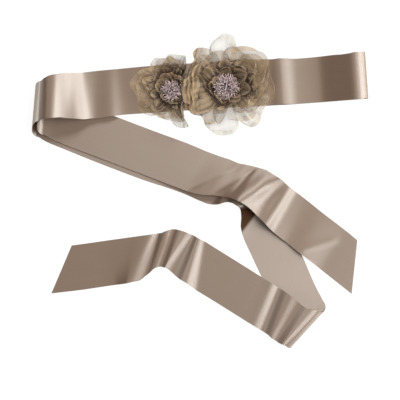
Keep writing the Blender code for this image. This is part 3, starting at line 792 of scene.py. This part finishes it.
def petal_surface(flower, petal, number, sheets, sheet):
    """Radius and angle run over a wedge. Height is the bowl's, with the petal's own waves, the
    shared ones, the lip and the curled rim added to it."""
    bowl, cloth = flower.bowls[petal.bowl], CLOTHS[petal.bowl.split("_")[0]]
    out, side = PETAL_OUT ** ROW_POWER, PETAL_SIDE
    half_angle = np.radians(petal.root + (petal.rim - petal.root) * out)
    angle = math.radians(petal.turn) + half_angle * side
    reach, pressed = reach_of(flower, petal, cloth, number, angle, side, sheet)
    folded = np.clip((out - LIP_FROM) / (1 - LIP_FROM), 0, 1)
    lip = cloth.lip * np.clip(0.35 + np.sin(2.2 * side + 2.4 * number), 0.06, 1)
    out_to = np.minimum(out / LIP_FROM, 1) - lip * folded
    radius = PETAL_ROOT + (reach - PETAL_ROOT) * out_to
    x = flower.x + radius * np.cos(angle)
    y = flower.y + radius * np.sin(angle)
    right, back = wander(x, y)
    x, y = x + right * out, y + back * out
    edge = np.maximum(out, abs(side)) + 0 * radius
    rim = np.clip(1 - (1 - edge) / RIM_SHARE, 0, 1) * np.minimum(1, out * 3)
    height = bowl.base + bowl.rise * (radius / bowl.radius) ** bowl.power
    height = height + NEIGHBOUR_LIFT * (number % 3) + SHEET_LIFT * sheet
    height = height + own_waves(petal, cloth, number, out, side)
    upright = UPRIGHT * pressed * np.clip(4 * out - 3, 0, 1) ** 2
    shared = (swell(x, y) + bunch(x, y)) * np.clip(out * 1.5, 0, 1)
    height = height + cloth.curl * rim**2 + upright + shared
    height = height + LIP_RISE * np.sqrt(folded)
    near_seam = np.exp(-((x - seam_line(y)) / BUNCH_WIDTH) ** 2)
    crowded = max(1, petal.layers / sheets) * (1 + CROWD * near_seam)
    seen_through = (1 - cloth.cover - cloth.rim * rim) ** crowded
    values = {
        "cover": 1 - seen_through,
        # The painted shade's greatest darkness; build_petals scales it by the light that is lost.
        "shade": cloth.depth * np.ones_like(radius),
        "warm": np.clip(max(cloth.warm, (petal.layers - 1) / 2) * (1 - 0.5 * rim), 0, 1),
    }
    return np.stack([x, y, height], axis=-1), values


# %% [markdown]
# ## Organza petals: how many sheets
# Where the picture shows a petal dense and tan, several sheets of organza lie on each other, a
# little turned, so that their rims show side by side. A petal that is nearly clear is one sheet.

# %% Sheets of a petal
# turn: how far a sheet is turned, in degrees. reach: its share of the petal's reach.
Sheet = namedtuple("Sheet", "turn reach")
SHEETS = (Sheet(0, 1.0), Sheet(19, 0.84), Sheet(-14, 0.92))
# Sheets of a petal wave differently: each counts as a petal so many numbers on.
NUMBER_STEP = 5


def petal_sheets(flower, petal, number):
    """One sheet for a clear petal, up to three that lie on each other for a dense outer one, and
    three for those of the cup."""
    outer = petal.bowl.startswith("outer")
    count = min(petal.layers, len(SHEETS)) if outer else len(SHEETS)
    made = []
    for place, sheet in enumerate(SHEETS[:count]):
        turn = petal.turn + sheet.turn * (1 if number % 2 else -1)
        cut = petal._replace(turn=turn, reach=petal.reach * sheet.reach, cup=petal.cup + place)
        made.append(petal_surface(flower, cut, number + NUMBER_STEP * place, count, place))
    return made


# %% [markdown]
# ## Organza petals: painted shade
# A renderer's light goes through a pile of thin petals too easily, while the real flower is dark
# brown in its depths. So shade is painted into the petals' colour: each point looks round itself on
# a map of the flowers' heights, and loses light to whatever stands above it. That painted shade
# draws the dark lines between the rims.

# %% Lost light, painted as shade
# How far off, in millimetres, petals still take light away, and how steeply they must rise above a
# point to hide the lamps from it.
SHADE_REACHES = (1.5, 3.0, 5.0)
SHADE_STEEPEST = 1.1
SHADE_WAYS = 12
# A rise up to this height takes nothing away: it is the point's own sheet.
OWN_SHEET = 0.6
MAP_RIM = 10
SHADE_GAIN = 1.25
SHADE_POWER = 1.5


def height_map(points):
    """The greatest height over each square millimetre, spread by one square to all sides."""
    low = np.floor(points[:, :2].min(axis=0)) - MAP_RIM
    size = np.ceil(points[:, :2].max(axis=0) - low).astype(int) + MAP_RIM
    cell = (points[:, :2] - low).astype(int)
    top = np.zeros(size)
    np.maximum.at(top, (cell[:, 0], cell[:, 1]), points[:, 2])
    for axis in (0, 1):
        top = np.maximum(top, np.maximum(np.roll(top, 1, axis), np.roll(top, -1, axis)))
    return low, top


def lost_light(cloth, low, top):
    """How far the petals round a point hide the sky: the mean, over directions and distances, of
    their rise above it divided by the distance, cut off at the steepest."""
    lost = np.zeros(cloth.shape[:2])
    for turn in np.arange(SHADE_WAYS) * 2 * math.pi / SHADE_WAYS:
        for reach in SHADE_REACHES:
            aside = np.array((math.cos(turn), math.sin(turn))) * reach
            cell = (cloth[..., :2] + aside - low).astype(int)
            rise = (top[cell[..., 0], cell[..., 1]] - cloth[..., 2] - OWN_SHEET) / reach
            lost += np.clip(rise / SHADE_STEEPEST, 0, 1)
    return lost / (SHADE_WAYS * len(SHADE_REACHES))


# %% [markdown]
# ## Organza petals: the meshes
# All the sheets of a petal are one mesh, and its cut is measured over its surface. Only the clear
# outer petals cast shadows: under the others, the painted shade has taken the light away already.

# %% Petal meshes
FILL = 0.32
# Half the width of the weave's map, over the petal's reach.
MAP_SHARE = 0.6


def cut_sizes(sheets):
    """Width, length and area of the cut, measured over the cloth. The sheets of a double petal are
    cut side by side, as one piece. A frilled rim is longer than the cut was, so a petal counts as
    at least FILL of its width times its length."""
    width, length, area = 0.0, 0.0, 0.0
    for cloth, _ in sheets:
        length = max(length, np.linalg.norm(np.diff(cloth, axis=0), axis=-1).sum(axis=0).max())
        width += np.linalg.norm(np.diff(cloth, axis=1), axis=-1).sum(axis=1).max()
        one, two = cloth[1:, 1:] - cloth[:-1, :-1], cloth[1:, :-1] - cloth[:-1, 1:]
        area += np.linalg.norm(np.cross(one, two), axis=-1).sum() / 2
    width = min(width, area / (FILL * length))
    return width * MM, length * MM, area * MM * MM


def weave_places(petal, sheets):
    """Where the points lie in the flat cloth: evenly along the reach and across it."""
    flat = np.broadcast_arrays(PETAL_OUT * petal.reach, PETAL_SIDE * petal.reach * MAP_SHARE)
    places = np.stack(flat, axis=-1).reshape(-1, 2) * MM
    return np.tile(places, (sheets, 1))


def build_petals(name, flower, petals, low, top):
    total = 0.0
    one = grid_quads(PETAL_ROWS + 1, PETAL_CELLS + 1)
    step = one.max() + 1
    for number, (petal, sheets) in enumerate(zip(flower.petals, petals), start=1):
        for cloth, values in sheets:
            # Painted shade: each point darkens with the light that it has lost.
            lost = np.clip(SHADE_GAIN * lost_light(cloth, low, top), 0, 1)
            values["shade"] *= lost ** SHADE_POWER
        points = np.concatenate([cloth.reshape(-1, 3) for cloth, _ in sheets])
        quads = np.concatenate([one + place * step for place in range(len(sheets))])
        values = {key: np.concatenate([v[key].ravel() for _, v in sheets]) for key in sheets[0][1]}
        places = weave_places(petal, len(sheets))
        piece = make_piece(f"{name}_organza_{number:02d}", points, quads, organza, places, values)
        piece.visible_shadow = petal.bowl.startswith("outer") and petal.layers == 1
        width, length, area = cut_sizes(sheets)
        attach(piece, "root")
        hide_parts(f"{name}_petal_{number:02d}")
        total += area
    print(name, "flower:", len(flower.petals), "petals,", round(total * 1e4), "cm2 of organza")


flowers = {"large": LARGE_FLOWER, "small": SMALL_FLOWER}
cut_petals = {
    name: [petal_sheets(flower, petal, place + 1) for place, petal in enumerate(flower.petals)]
    for name, flower in flowers.items()
}
all_sheets = [sheet for petals in cut_petals.values() for sheets in petals for sheet, _ in sheets]
map_low, map_top = height_map(np.concatenate([sheet.reshape(-1, 3) for sheet in all_sheets]))
for name, flower in flowers.items():
    build_petals(name, flower, cut_petals[name], map_low, map_top)

# %% [markdown]
# ## Stamens
# The middle of each flower is a bunch of stiff thread, cut short and teased out until it curls. A
# strand is a thin tube along a path that leaves a small dome and wavers more and more towards its
# tip. Hair curves could make it too, but a tube is a surface that any program can open. A bunch is
# one array, whose axes are strand, ring and corner. Thread is thinner than a pixel of this picture,
# so the strands are drawn 1 mm thick.

# %% Stamen finish
# Along a strand the colour runs from painted shade at the root, deep among the strands, to the
# thread's pale mauve at the tip, lightened there as a painted highlight.
STAMEN_PAINTED_SHADE = "#33231D"
STAMEN_MAUVE_AND_HIGHLIGHT = "#F2DCDC"


def stamen_finish():
    finish, tree = new_finish("stamen thread, dyed mauve and cut")
    colour = add_blend(tree, STAMEN_PAINTED_SHADE, STAMEN_MAUVE_AND_HIGHLIGHT, point_value(tree, "tip"))
    gloss = {"Roughness": 0.5, "Sheen Weight": 0.2}
    thread = add_node(tree, "BsdfPrincipled", gloss, {"Base Color": colour})
    add_node(tree, "OutputMaterial", links={"Surface": (thread, "BSDF")})
    return finish


stamen_thread = stamen_finish()
print("stamens:", stamen_thread.name)

# %% Paths of the strands
STRAND_RADIUS = 0.5
STRAND_RINGS = 7
STRAND_SIDES = 4
GOLDEN_TURN = math.pi * (3 - math.sqrt(5))
# How much of a half ball the strands' directions take up, counted from its top.
CAP = 0.62
SHORTEST = 0.78
LEAST_CURL = 1.2
MOST_CURL = 2.6
WAVER_TURNS = 1.1


def strands(flower, count):
    """Directions spread over a cap by the golden angle. A path starts just inside the dome and goes
    along its direction, with sine waves sideways that grow as the square of the way out."""
    stamens = flower.stamens
    dice = np.random.default_rng(stamens.seed)
    order = np.arange(count)
    rise = 1 - (order + 0.5) / count * CAP
    level = np.sqrt(1 - rise**2)
    turn = order * GOLDEN_TURN
    away = np.stack([level * np.cos(turn), level * np.sin(turn), rise], axis=-1)
    one = np.cross(away, (0.3, 0.2, 1.0))
    one /= np.linalg.norm(one, axis=-1, keepdims=True)
    two = np.cross(away, one)
    t = np.linspace(0, 1, STRAND_RINGS)[None, :, None]
    length = stamens.length * dice.uniform(SHORTEST, 1.0, (count, 1, 1))
    phase = dice.uniform(0, 2 * math.pi, (count, 1, 2))
    curl = dice.uniform(LEAST_CURL, MOST_CURL, (count, 1, 1)) * t**2
    waver = 2 * WAVER_TURNS * math.pi * t
    path = away[:, None] * (stamens.dome * 0.8 + length * t)
    path = path + one[:, None] * curl * np.sin(waver + phase[..., :1])
    path = path + two[:, None] * curl * np.sin(waver * 0.8 + phase[..., 1:])
    path = path + np.array((flower.x, flower.y, stamens.base - 0.25 * stamens.dome))
    return path, one, two, t


# %% Stamen bunches
def build_stamens(name, flower, count):
    """Tubes: a ring is a point of the path plus cosine and sine of the turn times two directions
    sideways. The last ring is half as wide."""
    path, one, two, t = strands(flower, count)
    turn = np.arange(STRAND_SIDES) * 2 * math.pi / STRAND_SIDES
    thin = STRAND_RADIUS * np.where(t < 1, 1.0, 0.5)
    ring = one[:, None, None] * np.cos(turn)[:, None]
    ring = ring + two[:, None, None] * np.sin(turn)[:, None]
    points = (path[:, :, None] + ring * thin[..., None]).reshape(-1, 3)
    index = np.arange(len(points)).reshape(count, STRAND_RINGS, STRAND_SIDES)
    after = np.roll(index, -1, axis=2)
    sides = np.stack([index[:, :-1], after[:, :-1], after[:, 1:], index[:, 1:]], axis=-1)
    quads = np.concatenate([sides.reshape(-1, 4), index[:, 0, ::-1], index[:, -1]])
    # From root to tip the colour goes from painted shade to the thread's mauve with a painted
    # highlight.
    tip = np.broadcast_to(t, index.shape)
    piece = make_piece(f"{name}_stamen_bunch", points, quads, stamen_thread, values={"tip": tip})
    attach(piece, "root")
    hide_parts(f"{name}_stamens")
    print(name, "stamens:", count, "strands")


build_stamens("large", LARGE_FLOWER, 130)
build_stamens("small", SMALL_FLOWER, 100)

# %% [markdown]
# ## Table
# The picture has no table to speak of: it is pure white under the sash. A floor that glows a little
# is bright enough to stay white and still takes a faint shadow.

# %% Table
FLOOR_SIZE = 12.0


def build_floor():
    finish, tree = new_finish("pale table top, lit from below")
    matt = add_node(tree, "BsdfDiffuse", {"Color": (0.12, 0.12, 0.12, 1.0)})
    glow = add_node(tree, "Emission", {"Color": (1, 1, 1, 1), "Strength": 0.93})
    both = add_node(tree, "AddShader", links={0: (matt, "BSDF"), 1: (glow, "Emission")})
    add_node(tree, "OutputMaterial", links={"Surface": (both, "Shader")})
    half = FLOOR_SIZE / 2 / MM
    corners = np.array([(x, y, 0) for x in (-half, half) for y in (-half, half)])
    floor = make_piece("table_top", corners, grid_quads(2, 2), finish)
    print("table:", FLOOR_SIZE, "m wide")


build_floor()

# %% [markdown]
# ## Light
# Satin shows its lamps as bands. The large soft lamp stands on the right, so that the flanks which
# fall to the right flare up, while a level stretch mirrors nothing. A smaller one behind picks out
# the far rims, and a weak one on the left keeps the other flanks from going black.

# %% Lamps
# azimuth is counted from +X towards +Y. size is the lamp's side and power its watts.
Lamp = namedtuple("Lamp", "name azimuth elevation distance size power")
LAMPS = (
    Lamp("back lamp", 72, 28, 2.6, 0.8, 34),
    Lamp("right softbox", 2, 38, 2.6, 2.0, 84),
    Lamp("left fill", 190, 16, 2.6, 0.6, 22),
)
ROOM_LIGHT = 0.12


def build_lamps():
    for lamp in LAMPS:
        data = bpy.data.lights.new(lamp.name, "AREA")
        data.size = lamp.size
        data.energy = lamp.power
        bearing, rise = math.radians(lamp.azimuth), math.radians(lamp.elevation)
        level = lamp.distance * math.cos(rise)
        made = bpy.data.objects.new(lamp.name, data)
        made.location.xy = level * math.cos(bearing), level * math.sin(bearing)
        made.location.z = lamp.distance * math.sin(rise)
        made.rotation_euler = (math.pi / 2 - rise, 0, bearing + math.pi / 2)
        bpy.context.scene.collection.objects.link(made)
    world = bpy.data.worlds.new("soft room")
    world.use_nodes = True
    background = world.node_tree.nodes["Background"]
    background.inputs["Color"].default_value = (1, 1, 1, 1)
    background.inputs["Strength"].default_value = ROOM_LIGHT
    bpy.context.scene.world = world
    print("lamps:", ", ".join(f"{lamp.name} {lamp.power} W" for lamp in LAMPS))


build_lamps()

# %% [markdown]
# ## Camera
# The picture is taken from straight above. The frame is as wide as 400 pixels of 1.25 mm, which is
# the scale that the ribbon's width gives.

# %% Camera
CAMERA_HEIGHT = 1560
FRAME_SIDE = 500
FRAME_MIDDLE_Y = -11.25
# A ray may cross this many sheets of organza.
MOST_SHEETS_IN_VIEW = 32


def build_camera():
    data = bpy.data.cameras.new("overhead")
    data.angle = 2 * math.atan(FRAME_SIDE / 2 / CAMERA_HEIGHT)
    camera = bpy.data.objects.new("overhead", data)
    camera.location = (0, FRAME_MIDDLE_Y * MM, CAMERA_HEIGHT * MM)
    bpy.context.scene.collection.objects.link(camera)
    bpy.context.scene.camera = camera
    print("camera:", CAMERA_HEIGHT, "mm up, frame", FRAME_SIDE, "mm wide")


build_camera()
bpy.context.scene.view_settings.view_transform = "Standard"
bpy.context.scene.cycles.transparent_max_bounces = MOST_SHEETS_IN_VIEW
